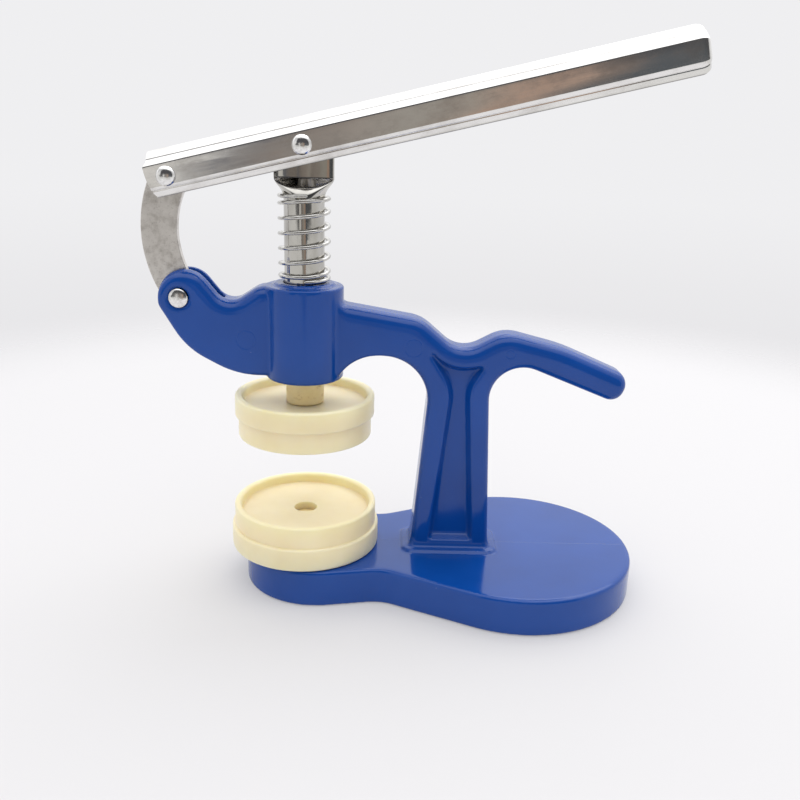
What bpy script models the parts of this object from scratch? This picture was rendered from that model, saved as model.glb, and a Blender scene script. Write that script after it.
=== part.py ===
"""Watch case press: one painted casting that carries a lever-driven plunger and two nylon dies.

The origin is on the base's underside, on the plunger's axis. +X runs towards the grip horn, +Z is up,
and the press is symmetrical about the plane Y = 0. Metres throughout; MM turns millimetres into them.
"""

import math

import bmesh
import bpy
from mathutils import Vector

MM = 0.001
GAP = 0.3 * MM

# Base plate: a round nose under the dies, a waist and a large disc under the grip horn.
BASE_THICKNESS = 13.4 * MM
BASE_TOP_ROUND = 1.3 * MM
BASE_FOOT_CHAMFER = 0.5 * MM
NOSE_LEFT = -21.9
NOSE_RADIUS = 26.8
WAIST_X = 28.8
WAIST_HALF = 23.1
DISC_CENTRE_X = 79.9
DISC_RADIUS = 43.2

# Upright web: fork, arm, column and grip horn in one thickness.
WEB_HALF_WIDTH = 7.25 * MM
TOP_ROUND = 4.5
SIDE_ROUND = 1.5
GRIP_ROUND = 3.2
ROUND_LAYERS = 5
FOOT_FILLET = 2.2 * MM
COLUMN_LEFT = 39.6
COLUMN_RIGHT = 68.9
POCKET_DEPTH = 3.2 * MM
POCKET_DRAFT = 1.7 * MM

# Boss that guides the plunger.
BOSS_RADIUS = 13.6 * MM
BOSS_BOTTOM = 78.1 * MM
BOSS_TOP = 111.0 * MM
SEAT_RADIUS = 10.8 * MM
SEAT_TOP = 112.0 * MM

# Linkage pivots, as X and Z in the plane Y = 0.
FORK_PIN = Vector((-42.4, 0.0, 106.5)) * MM
REAR_PIN = Vector((-44.5, 0.0, 146.75)) * MM
PLUNGER_PIN = Vector((0.0, 0.0, 157.75)) * MM

# Lever: a folded channel, open underneath, with a closed round nose.
LEVER_REAR = 5.3 * MM
LEVER_LENGTH = 184.5 * MM
LEVER_NOSE = 3.8 * MM
LEVER_WALL = 1.2 * MM
LEVER_SECTION = ((7.3, -3.0), (7.3, 4.35), (5.0, 6.55), (2.6, 8.85))
LEVER_LIP = ((5.9, -6.2), (6.6, -3.9))
LIP_DROP = 0.6

# Link plate between the fork and the lever.
LINK_THICKNESS = 3.0 * MM
LINK_WIDTH = 12.4 * MM
LINK_BOW_RADIUS = 38.3 * MM
LINK_EYE_RADIUS = 3.0 * MM
SLOT_WIDTH = 3.8 * MM
SLOT_END_X = -28.0 * MM

# Rivets.
RIVET_SHANK = 2.0 * MM
RIVET_HEAD = 3.25 * MM
RIVET_DOME = 1.5 * MM
FORK_PIN_SHANK = 2.9 * MM
FORK_PIN_DOME = 0.8 * MM
SPACER_RADIUS = 3.2 * MM

# Plunger: a steel tube with a flattened head, and the brass adapter in its lower end.
TUBE_RADIUS = 6.95 * MM
TUBE_BORE = 5.0 * MM
TUBE_BOTTOM = 86.0 * MM
TUBE_BORE_TOP = 132.0 * MM
HEAD_HALF_WIDTH = 10.15 * MM
HEAD_HALF_DEPTH = 1.6 * MM
HEAD_TOP = 162.4 * MM
FLARE_START = 138.0 * MM
FLARE_END = 147.0 * MM
ADAPTER_RADIUS = 6.8 * MM
ADAPTER_SPIGOT = 4.7 * MM
ADAPTER_SPIGOT_TOP = 98.0 * MM
ADAPTER_STUD = 3.9 * MM

# Return spring.
SPRING_RADIUS = 8.4 * MM
WIRE_RADIUS = 0.7 * MM
SPRING_TURNS = 7.0
SPRING_TOP = 142.3 * MM
CLOSED_PITCH = 1.65 * MM
SPRING_STEPS = 14

# Dies: double ended, with a cup at each end and a bore through the floor between the cups.
CUP_DEPTH = 3.4 * MM
DIE_BORE = 4.2 * MM
UPPER_DIE_TOP = 71.8 * MM
UPPER_DIE_RADII = (25.1 * MM, 24.0 * MM)
UPPER_DIE_HEIGHTS = (7.7 * MM, 7.6 * MM)
UPPER_CUP_RADII = (22.4 * MM, 21.0 * MM)
LOWER_DIE_RADII = (26.2 * MM, 27.3 * MM)
LOWER_DIE_HEIGHTS = (7.9 * MM, 8.3 * MM)
LOWER_CUP_RADII = (23.8 * MM, 24.6 * MM)
STUD_HOLE_FLOOR = 5.0 * MM
STUD_TOP = 24.0 * MM

LEVER_TILT = math.atan2(PLUNGER_PIN.z - REAR_PIN.z, PLUNGER_PIN.x - REAR_PIN.x)
PIN_SPACING = (PLUNGER_PIN - REAR_PIN).length
LEVER_HALF_WIDTH = LEVER_SECTION[0][0] * MM


# ---------------------------------------------------------------- outlines and meshes

def turn_at(before, corner, after):
    """Signed turn of a path at a corner, positive to the left."""
    a = corner - before
    b = after - corner
    return math.atan2(a.x * b.y - a.y * b.x, a.dot(b))


def shifted_corner(before, corner, after, inset_in, inset_out):
    """Where a corner moves when its two sides move inwards by their own insets."""
    a = (corner - before).normalized()
    b = (after - corner).normalized()
    left_a = Vector((-a.y, a.x))
    left_b = Vector((-b.y, b.x))
    cross = a.x * b.y - a.y * b.x
    gap = left_b * inset_out - left_a * inset_in
    along = (gap.x * b.y - gap.y * b.x) / cross
    return corner + left_a * inset_in + a * along


def outline(corners, insets=None, step=math.radians(13)):
    """Points of an anticlockwise polygon in MM whose corners (u, v, radius) are arcs, in metres."""
    count = len(corners)
    insets = insets or [0.0] * count
    sharp = [Vector(corner[:2]) for corner in corners]
    points = []
    for i, corner in enumerate(corners):
        before = sharp[i - 1]
        after = sharp[(i + 1) % count]
        turn = turn_at(before, sharp[i], after)
        tip = shifted_corner(before, sharp[i], after, insets[i - 1], insets[i])
        mean = 0.5 * (insets[i - 1] + insets[i])
        radius = corner[2] - math.copysign(mean, turn)
        if corner[2] <= 0.0:
            points.append(tip * MM)
            continue
        back = (before - sharp[i]).normalized()
        ahead = (after - sharp[i]).normalized()
        reach = radius * math.tan(abs(turn) / 2)
        centre = tip + (back + ahead).normalized() * (radius / math.cos(turn / 2))
        start = tip + back * reach - centre
        steps = max(2, math.ceil(abs(turn) / step))
        for k in range(steps + 1):
            angle = turn * k / steps
            cosine = math.cos(angle)
            sine = math.sin(angle)
            swung = Vector((start.x * cosine - start.y * sine, start.x * sine + start.y * cosine))
            points.append((centre + swung) * MM)
    return points


def circle(radius, steps, centre=(0.0, 0.0)):
    """Points of an anticlockwise circle."""
    angles = [2 * math.pi * k / steps for k in range(steps)]
    return [Vector((centre[0] + radius * math.cos(a), centre[1] + radius * math.sin(a))) for a in angles]


def mesh_object(name, mesh_builder):
    """A new object whose faces all point outwards."""
    mesh_builder.normal_update()
    bmesh.ops.recalc_face_normals(mesh_builder, faces=mesh_builder.faces)
    mesh = bpy.data.meshes.new(name)
    mesh_builder.to_mesh(mesh)
    mesh_builder.free()
    mesh.shade_smooth()
    mesh.set_sharp_from_angle(angle=math.radians(35))
    item = bpy.data.objects.new(name, mesh)
    bpy.context.scene.collection.objects.link(item)
    return item


def loft(name, rings):
    """A closed solid through rings of equally many points, capped at both ends."""
    builder = bmesh.new()
    loops = [[builder.verts.new(point) for point in ring] for ring in rings]
    for low, high in zip(loops, loops[1:]):
        for k in range(len(low)):
            after = (k + 1) % len(low)
            builder.faces.new((low[k], low[after], high[after], high[k]))
    builder.faces.new(reversed(loops[0]))
    builder.faces.new(loops[-1])
    return mesh_object(name, builder)


def turned(name, profile, steps=36):
    """A solid of revolution about Z from (radius, z) points that start and end on the axis."""
    builder = bmesh.new()
    loops = []
    for radius, z in profile:
        if radius <= 0.0:
            loops.append([builder.verts.new((0.0, 0.0, z))])
        else:
            loops.append([builder.verts.new((p.x, p.y, z)) for p in circle(radius, steps)])
    for low, high in zip(loops, loops[1:]):
        for k in range(steps):
            after = (k + 1) % steps
            if len(low) == 1:
                builder.faces.new((low[0], high[k], high[after]))
            elif len(high) == 1:
                builder.faces.new((low[k], low[after], high[0]))
            else:
                builder.faces.new((low[k], low[after], high[after], high[k]))
    return mesh_object(name, builder)


def turned_ring(name, profile, steps=48):
    """A solid of revolution about Z from a closed (radius, z) profile that stays off the axis."""
    builder = bmesh.new()
    loops = [[builder.verts.new((p.x, p.y, z)) for p in circle(radius, steps)] for radius, z in profile]
    for i, low in enumerate(loops):
        high = loops[(i + 1) % len(loops)]
        for k in range(steps):
            after = (k + 1) % steps
            builder.faces.new((low[k], low[after], high[after], high[k]))
    return mesh_object(name, builder)


def cylinder_along_y(name, radius, half_length, centre, steps=24):
    """A solid cylinder along Y."""
    rings = []
    for y in (-half_length, half_length):
        rings.append([(p.x, y, p.y) for p in circle(radius, steps, (centre.x, centre.z))])
    return loft(name, rings)


def box(name, low, high):
    """A solid box between two corners."""
    ring = ((low[0], low[1]), (high[0], low[1]), (high[0], high[1]), (low[0], high[1]))
    return loft(name, [[(x, y, z) for x, y in ring] for z in (low[2], high[2])])


def boolean(target, tool, operation="DIFFERENCE"):
    """Cut a tool from a target, or join it to the target, and keep the tool out of the model."""
    modifier = target.modifiers.new(tool.name, "BOOLEAN")
    modifier.operation = operation
    modifier.solver = "EXACT"
    modifier.object = tool
    tool.hide_render = True
    tool.display_type = "WIRE"


def material(item, colour, roughness, metallic=0.0):
    """Give an object a plain material of its own."""
    finish = bpy.data.materials.new(item.name)
    finish.use_nodes = True
    shader = finish.node_tree.nodes["Principled BSDF"]
    shader.inputs["Base Color"].default_value = (*colour, 1.0)
    shader.inputs["Roughness"].default_value = roughness
    shader.inputs["Metallic"].default_value = metallic
    item.data.materials.append(finish)


def hang_from(item, parent):
    """Parent an object to an empty without moving it."""
    item.parent = parent
    item.matrix_parent_inverse = parent.matrix_world.inverted()


def pivot(name, place):
    """An empty on a joint's axis."""
    empty = bpy.data.objects.new(name, None)
    empty.location = place
    bpy.context.scene.collection.objects.link(empty)
    bpy.context.view_layer.update()
    return empty


def paint(item):
    material(item, (0.028, 0.075, 0.27), 0.22)


def bright_steel(item):
    material(item, (0.72, 0.71, 0.69), 0.18, 1.0)


def satin_steel(item):
    material(item, (0.46, 0.44, 0.41), 0.4, 1.0)


def brass(item):
    material(item, (0.72, 0.55, 0.27), 0.32, 1.0)


def nylon(item):
    material(item, (0.86, 0.80, 0.64), 0.4)


# ---------------------------------------------------------------- the casting

def base_plate():
    """Flat base with a rounded top edge."""
    right = DISC_CENTRE_X + DISC_RADIUS
    half = [
        (NOSE_LEFT, -32.3, NOSE_RADIUS),
        (WAIST_X, -WAIST_HALF, 14.0),
        (70.1, -DISC_RADIUS, DISC_RADIUS - 0.1),
        (right, -DISC_RADIUS, DISC_RADIUS - 0.1),
    ]
    corners = half + [(x, -y, radius) for x, y, radius in reversed(half)]
    levels = [(0.0, BASE_FOOT_CHAMFER), (BASE_FOOT_CHAMFER, 0.0)]
    for k in range(5):
        angle = math.pi / 2 * k / 4
        rise = BASE_THICKNESS - BASE_TOP_ROUND * (1 - math.sin(angle))
        levels.append((rise, BASE_TOP_ROUND * (1 - math.cos(angle))))
    rings = []
    for z, inset in levels:
        points = outline(corners, [inset / MM] * len(corners), math.radians(7))
        rings.append([(p.x, p.y, z) for p in points])
    return loft("press_frame", rings)


def web_corners():
    """Side view of the upright web, anticlockwise: X, Z, corner radius, and that side's edge round."""
    return [
        (69.3, 4.0, 0.0, SIDE_ROUND),
        (65.3, 89.8, 11.7, GRIP_ROUND),
        (112.15, 71.6, 4.8, GRIP_ROUND),
        (115.95, 81.4, 4.8, TOP_ROUND),
        (91.3, 91.7, 60.0, TOP_ROUND),
        (70.5, 96.8, 13.0, TOP_ROUND),
        (55.3, 88.55, 10.5, TOP_ROUND),
        (41.1, 100.6, 14.0, TOP_ROUND),
        (12.7, 105.2, 3.5, SIDE_ROUND),
        (11.4, 110.8, 0.0, TOP_ROUND),
        (-15.5, 110.8, 8.0, TOP_ROUND),
        (-26.4, 103.5, 6.4, TOP_ROUND),
        (-36.3, 115.8, 9.0, TOP_ROUND),
        (-49.8, 115.8, 9.0, SIDE_ROUND),
        (-49.8, 103.9, 4.0, SIDE_ROUND),
        (-40.7, 88.6, 26.0, SIDE_ROUND),
        (-23.3, 79.4, 30.0, SIDE_ROUND),
        (12.1, 79.3, 0.0, SIDE_ROUND),
        (18.3, 87.5, 16.5, SIDE_ROUND),
        (45.35, 87.5, 16.5, SIDE_ROUND),
        (38.8, 4.0, 0.0, SIDE_ROUND),
    ]


def edge_inset(radius, depth):
    """How far a rounded edge of this radius has drawn in at a depth below the side face."""
    rise = radius - depth
    return radius - math.sqrt(radius * radius - rise * rise) if rise > 0 else 0.0


def upright_web():
    """Fork, arm, column and grip horn, with each edge rounded by its own radius."""
    corners = web_corners()
    rings = []
    for k in range(ROUND_LAYERS + 1):
        depth = TOP_ROUND * (1 - math.cos(math.pi / 2 * k / ROUND_LAYERS))
        insets = [edge_inset(corner[3], depth) for corner in corners]
        points = outline([corner[:3] for corner in corners], insets)
        rings.append([(p.x, -WEB_HALF_WIDTH + depth * MM, p.y) for p in points])
    far_side = [[(x, -y, z) for x, y, z in ring] for ring in reversed(rings)]
    return loft("web_blank", rings + far_side)


def boss():
    """Round boss with a low raised seat for the return spring."""
    edge = 0.6 * MM
    profile = [
        (0.0, BOSS_BOTTOM),
        (BOSS_RADIUS - edge, BOSS_BOTTOM),
        (BOSS_RADIUS, BOSS_BOTTOM + edge),
        (BOSS_RADIUS, BOSS_TOP - edge),
        (BOSS_RADIUS - edge / 3, BOSS_TOP - edge / 3),
        (BOSS_RADIUS - edge, BOSS_TOP),
        (SEAT_RADIUS, BOSS_TOP),
        (SEAT_RADIUS - 0.6 * MM, SEAT_TOP),
        (0.0, SEAT_TOP),
    ]
    return turned("boss_blank", profile)


def column_foot():
    """Fillet where the column grows out of the base; its upper edge ends just inside the column."""
    rings = []
    for k in range(5):
        angle = math.pi / 2 * k / 4
        spread = FOOT_FILLET * (1 - math.sin(angle))
        rise = BASE_THICKNESS + FOOT_FILLET * (1 - math.cos(angle))
        rings.append((spread, rise))
    rings.insert(0, (FOOT_FILLET, BASE_THICKNESS - 2 * MM))
    sunk = 0.2
    left = COLUMN_LEFT + sunk
    right = COLUMN_RIGHT - sunk
    half = WEB_HALF_WIDTH / MM - sunk
    levels = []
    for spread, rise in rings:
        grow = spread / MM
        corners = [
            (left - grow, -half - grow, 2.0),
            (right + grow, -half - grow, 2.0),
            (right + grow, half + grow, 2.0),
            (left - grow, half + grow, 2.0),
        ]
        levels.append([(p.x, p.y, rise) for p in outline(corners, None, math.radians(23))])
    return loft("foot_blank", levels)


def pocket_corners():
    """Side view of the lightening pocket in the column's face."""
    return [
        (46.0, 17.0, 1.2),
        (62.8, 17.0, 1.2),
        (59.1, 75.9, 12.0),
        (64.6, 85.2, 1.0),
        (51.5, 83.6, 14.0),
        (40.7, 94.2, 0.9),
        (51.9, 76.0, 16.0),
    ]


def pocket_tool(side):
    """Drafted cutter for the pocket on one face of the column."""
    corners = pocket_corners()
    face = WEB_HALF_WIDTH
    draft = POCKET_DRAFT / MM
    stages = ((face + 2 * MM, -draft * 0.3), (face, 0.0), (face - POCKET_DEPTH, draft))
    rings = []
    for y, inset in stages:
        points = outline(corners, [inset] * len(corners))
        rings.append([(p.x, side * y, p.y) for p in points])
    return loft("pocket_tool", rings)


def press_frame():
    """The one-piece casting."""
    frame = base_plate()
    boolean(frame, upright_web(), "UNION")
    boolean(frame, boss(), "UNION")
    boolean(frame, column_foot(), "UNION")
    bore = TUBE_RADIUS + GAP
    boolean(frame, turned("bore_tool", [(0.0, 70 * MM), (bore, 70 * MM), (bore, 120 * MM), (0.0, 120 * MM)]))
    slot_half = SLOT_WIDTH / 2
    low = (-60 * MM, -slot_half, 70 * MM)
    boolean(frame, box("slot_tool", low, (SLOT_END_X, slot_half, 125 * MM)))
    boolean(frame, cylinder_along_y("pin_tool", FORK_PIN_SHANK + GAP, 12 * MM, FORK_PIN))
    stud_hole = ADAPTER_STUD + GAP
    top = BASE_THICKNESS + 2 * MM
    profile = [(0.0, STUD_HOLE_FLOOR), (stud_hole, STUD_HOLE_FLOOR), (stud_hole, top), (0.0, top)]
    boolean(frame, turned("stud_tool", profile, 24))
    for side in (-1, 1):
        boolean(frame, pocket_tool(side))
    paint(frame)
    return frame


# ---------------------------------------------------------------- lever, link and rivets

def lever_ring(along, scale):
    """The lever's outer section at a distance along it, drawn in towards its middle by a scale."""
    centre = 1.2
    share = (along + PIN_SPACING + LEVER_REAR) / LEVER_LENGTH
    lip = [(y, n - LIP_DROP * share) for y, n in LEVER_LIP]
    side = lip + list(LEVER_SECTION)
    ring = side + [(-y, n) for y, n in reversed(side)]
    return [(along, y * scale * MM, (centre + (n - centre) * scale) * MM) for y, n in ring]


def lever_hollow():
    """Cutter for the inside of the channel and the gap between its lips."""
    wall = LEVER_WALL / MM
    lip_y, lip_n = LEVER_LIP[0]
    side = [(lip_y - wall, lip_n - 2.0), (lip_y - wall, lip_n)]
    side += [(LEVER_LIP[1][0] - wall, LEVER_LIP[1][1] - 0.2)]
    side += [(LEVER_SECTION[0][0] - wall, LEVER_SECTION[0][1] - 0.25)]
    side += [(LEVER_SECTION[1][0] - wall, LEVER_SECTION[1][1] - 0.5)]
    side += [(LEVER_SECTION[2][0] - wall * 0.75, LEVER_SECTION[2][1] - wall * 0.85)]
    side += [(LEVER_SECTION[3][0] - wall * 0.3, LEVER_SECTION[3][1] - wall)]
    ring = side + [(-y, n) for y, n in reversed(side)]
    rear = -PIN_SPACING - LEVER_REAR
    ends = (rear - 5 * MM, rear + LEVER_LENGTH - LEVER_NOSE + 1.2 * MM)
    return loft("lever_hollow_tool", [[(along, y * MM, n * MM) for y, n in ring] for along in ends])


def lever_channel():
    """Folded lever, built about the plunger pin and tilted to its rest angle."""
    rear = -PIN_SPACING - LEVER_REAR
    front = rear + LEVER_LENGTH
    rings = [lever_ring(rear, 1.0)]
    for k in range(6):
        angle = math.pi / 2 * k / 6
        along = front - LEVER_NOSE * (1 - math.sin(angle))
        rings.append(lever_ring(along, 0.55 + 0.45 * math.cos(angle)))
    rings.append(lever_ring(front, 0.55))
    lever = loft("lever_channel", rings)
    tools = [lever_hollow()]
    for name, along in (("plunger_hole_tool", 0.0), ("rear_hole_tool", -PIN_SPACING)):
        centre = Vector((along, 0.0, 0.0))
        tools.append(cylinder_along_y(name, RIVET_SHANK + GAP, 12 * MM, centre))
    for tool in tools:
        boolean(lever, tool)
    for item in [lever] + tools:
        item.location = PLUNGER_PIN
        item.rotation_euler = (0.0, -LEVER_TILT, 0.0)
    bright_steel(lever)
    return lever


def bow_centre():
    """Centre of the arc that the link plate follows from pin to pin."""
    middle = (FORK_PIN + REAR_PIN) / 2
    chord = REAR_PIN - FORK_PIN
    across = Vector((chord.z, 0.0, -chord.x)).normalized()
    return middle + across * math.sqrt(LINK_BOW_RADIUS ** 2 - (chord.length / 2) ** 2)


def link_plate():
    """C-shaped link with a round end about each pin."""
    centre = bow_centre()
    half = LINK_WIDTH / 2
    bearings = [math.atan2(pin.z - centre.z, pin.x - centre.x) % (2 * math.pi) for pin in (REAR_PIN, FORK_PIN)]
    top, bottom = bearings
    points = []
    for k in range(15):
        angle = top + (bottom - top) * k / 14
        reach = LINK_BOW_RADIUS + half
        points.append(centre + reach * Vector((math.cos(angle), 0.0, math.sin(angle))))
    for k in range(1, 12):
        angle = bottom + math.pi * k / 12
        points.append(FORK_PIN + half * Vector((math.cos(angle), 0.0, math.sin(angle))))
    for k in range(13):
        angle = bottom + (top - bottom) * k / 12
        reach = LINK_BOW_RADIUS - half
        points.append(centre + reach * Vector((math.cos(angle), 0.0, math.sin(angle))))
    for k in range(1, 12):
        angle = top + math.pi + math.pi * k / 12
        points.append(REAR_PIN + half * Vector((math.cos(angle), 0.0, math.sin(angle))))
    depth = LINK_THICKNESS / 2
    rings = [[(p.x, y, p.z) for p in points] for y in (-depth, depth)]
    link = loft("link_plate", rings)
    boolean(link, cylinder_along_y("fork_eye_tool", FORK_PIN_SHANK + GAP, 5 * MM, FORK_PIN))
    boolean(link, cylinder_along_y("rear_eye_tool", LINK_EYE_RADIUS, 5 * MM, REAR_PIN))
    satin_steel(link)
    return link


def rivet(name, place, shank, head, dome, face):
    """A rivet along Y with a domed head beyond each side face."""
    inner = face + GAP
    half = [(0.0, inner + dome), (head * 0.42, inner + dome * 0.9), (head * 0.78, inner + dome * 0.58)]
    half += [(head, inner + dome * 0.12), (head, inner), (shank, inner)]
    profile = half + [(radius, -y) for radius, y in reversed(half)]
    item = turned(name, profile[::-1], 20)
    item.rotation_euler = (math.pi / 2, 0.0, 0.0)
    item.location = place
    bright_steel(item)
    return item


def spacer(name, place, side, inner_face):
    """A bush on a rivet, between a plate in the middle of the lever and the lever's wall."""
    wall_face = LEVER_HALF_WIDTH - LEVER_WALL
    near = inner_face + GAP
    far = wall_face - GAP
    bore = RIVET_SHANK + GAP
    item = turned_ring(name, [(bore, near), (SPACER_RADIUS, near), (SPACER_RADIUS, far), (bore, far)], 20)
    item.rotation_euler = (-side * math.pi / 2, 0.0, 0.0)
    item.location = place
    satin_steel(item)
    return item


# ---------------------------------------------------------------- plunger, adapter and spring

def plunger_ring(z, half_width, half_depth, power):
    """A superellipse section: power 1 is round, smaller is squarer."""
    ring = []
    steps = 36
    for k in range(steps):
        angle = 2 * math.pi * k / steps
        cosine = math.cos(angle)
        sine = math.sin(angle)
        x = half_width * math.copysign(abs(cosine) ** power, cosine)
        y = half_depth * math.copysign(abs(sine) ** power, sine)
        ring.append((x, y, z))
    return ring


def plunger_tube():
    """Steel tube crushed flat at the top, where the lever pin passes through it."""
    rings = [plunger_ring(z, TUBE_RADIUS, TUBE_RADIUS, 1.0) for z in (TUBE_BOTTOM, FLARE_START)]
    for k in range(1, 9):
        share = k / 8
        ease = share * share * (3 - 2 * share)
        width = TUBE_RADIUS + (HEAD_HALF_WIDTH - TUBE_RADIUS) * ease ** 1.6
        depth = TUBE_RADIUS + (HEAD_HALF_DEPTH - TUBE_RADIUS) * ease
        z = FLARE_START + (FLARE_END - FLARE_START) * share
        rings.append(plunger_ring(z, width, depth, 1.0 - 0.55 * ease))
    shoulder = 6 * MM
    for k in range(7):
        angle = math.pi / 2 * k / 6
        z = HEAD_TOP - shoulder * (1 - math.sin(angle))
        width = HEAD_HALF_WIDTH - shoulder * (1 - math.cos(angle))
        rings.append(plunger_ring(z, width, HEAD_HALF_DEPTH, 0.45))
    tube = loft("plunger_tube", rings)
    low = TUBE_BOTTOM - 2 * MM
    profile = [(0.0, low), (TUBE_BORE, low), (TUBE_BORE, TUBE_BORE_TOP), (0.0, TUBE_BORE_TOP)]
    boolean(tube, turned("tube_bore_tool", profile, 32))
    boolean(tube, cylinder_along_y("head_hole_tool", RIVET_SHANK + GAP, 5 * MM, PLUNGER_PIN))
    bright_steel(tube)
    return tube


def die_adapter():
    """Brass piece pressed into the tube, with a stud below that the die screws onto."""
    shoulder = UPPER_DIE_TOP - CUP_DEPTH + GAP
    joint = TUBE_BOTTOM - GAP
    stud_bottom = UPPER_DIE_TOP - sum(UPPER_DIE_HEIGHTS) + CUP_DEPTH + 0.3 * MM
    chamfer = 0.6 * MM
    profile = [
        (0.0, stud_bottom),
        (ADAPTER_STUD - chamfer, stud_bottom),
        (ADAPTER_STUD, stud_bottom + chamfer),
        (ADAPTER_STUD, shoulder),
        (ADAPTER_RADIUS - chamfer / 2, shoulder),
        (ADAPTER_RADIUS, shoulder + chamfer / 2),
        (ADAPTER_RADIUS, joint),
        (ADAPTER_SPIGOT, joint),
        (ADAPTER_SPIGOT, ADAPTER_SPIGOT_TOP - chamfer),
        (ADAPTER_SPIGOT - chamfer, ADAPTER_SPIGOT_TOP),
        (0.0, ADAPTER_SPIGOT_TOP),
    ]
    item = turned("die_adapter", profile, 32)
    brass(item)
    return item


def spring_height(turns):
    """Height of the wire's centre after a number of turns, with a closed coil at each end."""
    low = SEAT_TOP + GAP + WIRE_RADIUS
    high = SPRING_TOP - WIRE_RADIUS
    closed = 1.0
    open_turns = SPRING_TURNS - 2 * closed
    open_rise = high - low - 2 * CLOSED_PITCH
    if turns < closed:
        return low + CLOSED_PITCH * turns
    if turns > SPRING_TURNS - closed:
        return high - CLOSED_PITCH * (SPRING_TURNS - turns)
    share = (turns - closed) / open_turns
    return low + CLOSED_PITCH + open_rise * share


def return_spring():
    """Right-handed coil spring; its ends are closed and both lie on the near side."""
    steps = int(SPRING_TURNS * SPRING_STEPS)
    curve = bpy.data.curves.new("return_spring", "CURVE")
    curve.dimensions = "3D"
    curve.bevel_depth = WIRE_RADIUS
    curve.bevel_resolution = 1
    curve.use_fill_caps = True
    line = curve.splines.new("POLY")
    line.points.add(steps)
    for k in range(steps + 1):
        turns = k / SPRING_STEPS
        angle = 2 * math.pi * turns - math.pi / 2 + 0.15
        x = SPRING_RADIUS * math.cos(angle)
        y = SPRING_RADIUS * math.sin(angle)
        line.points[k].co = (x, y, spring_height(turns), 1.0)
    item = bpy.data.objects.new("return_spring", curve)
    bpy.context.scene.collection.objects.link(item)
    bright_steel(item)
    return item


# ---------------------------------------------------------------- dies

def die(name, top, radii, heights, cups):
    """Double-ended die: an upper and a lower ring, a cup in each end and a bore between them."""
    edge = 0.6 * MM
    lip = 0.4 * MM
    bottom = top - sum(heights)
    step_z = top - heights[0]
    upper, lower = radii
    upper_cup, lower_cup = cups
    wide_below = lower > upper
    profile = [
        (DIE_BORE, bottom + CUP_DEPTH),
        (lower_cup - lip, bottom + CUP_DEPTH),
        (lower_cup, bottom + lip),
        (lower_cup + lip, bottom),
        (lower - edge, bottom),
        (lower, bottom + edge),
    ]
    if wide_below:
        profile += [(lower, step_z - edge), (lower - edge, step_z), (upper, step_z)]
    else:
        profile += [(lower, step_z), (upper - edge, step_z), (upper, step_z + edge)]
    profile += [
        (upper, top - edge),
        (upper - edge, top),
        (upper_cup + lip, top),
        (upper_cup, top - lip),
        (upper_cup - lip, top - CUP_DEPTH),
        (DIE_BORE, top - CUP_DEPTH),
    ]
    item = turned_ring(name, profile)
    nylon(item)
    return item


def lower_die_stud():
    """Plain stud that stands in the base and centres the lower die."""
    low = STUD_HOLE_FLOOR + GAP
    chamfer = 0.6 * MM
    profile = [
        (0.0, low),
        (ADAPTER_STUD, low),
        (ADAPTER_STUD, STUD_TOP - chamfer),
        (ADAPTER_STUD - chamfer, STUD_TOP),
        (0.0, STUD_TOP),
    ]
    item = turned("lower_die_stud", profile, 24)
    brass(item)
    return item


# ---------------------------------------------------------------- assembly

def build():
    for item in list(bpy.data.objects):
        bpy.data.objects.remove(item, do_unlink=True)

    plunger_axis = pivot("plunger_axis", PLUNGER_PIN)
    lever_axis = pivot("lever_axis", PLUNGER_PIN)
    link_axis = pivot("link_axis", FORK_PIN)
    hang_from(lever_axis, plunger_axis)

    press_frame()
    return_spring()
    lower_die_stud()
    rivet("fork_pin", FORK_PIN, FORK_PIN_SHANK, RIVET_HEAD, FORK_PIN_DOME, WEB_HALF_WIDTH)
    lower_top = BASE_THICKNESS + GAP + sum(LOWER_DIE_HEIGHTS)
    die("lower_die", lower_top, LOWER_DIE_RADII, LOWER_DIE_HEIGHTS, LOWER_CUP_RADII)

    hang_from(link_plate(), link_axis)

    rides_plunger = [plunger_tube(), die_adapter()]
    rides_plunger.append(die("upper_die", UPPER_DIE_TOP, UPPER_DIE_RADII, UPPER_DIE_HEIGHTS, UPPER_CUP_RADII))
    head = (RIVET_SHANK, RIVET_HEAD, RIVET_DOME, LEVER_HALF_WIDTH)
    rides_plunger.append(rivet("plunger_rivet", PLUNGER_PIN, *head))
    rides_lever = [lever_channel(), rivet("rear_rivet", REAR_PIN, *head)]
    for label, side in (("front", 1), ("back", -1)):
        rides_plunger.append(spacer(f"plunger_spacer_{label}", PLUNGER_PIN, -side, HEAD_HALF_DEPTH))
        rides_lever.append(spacer(f"link_spacer_{label}", REAR_PIN, -side, LINK_THICKNESS / 2))
    for item in rides_plunger:
        hang_from(item, plunger_axis)
    for item in rides_lever:
        hang_from(item, lever_axis)


build()
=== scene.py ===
"""Looks of the watch case press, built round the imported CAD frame.

Every piece is made in place in the CAD's frame, rides on one of its bodies and stands for the CAD node
that it refines. The pieces' sizes are in millimetres, and MM turns them into metres. The stage is a
pale floor under a soft white studio, with its sizes in metres.
"""

import math

import bmesh
import bpy
from mathutils import Matrix, Vector


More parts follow.
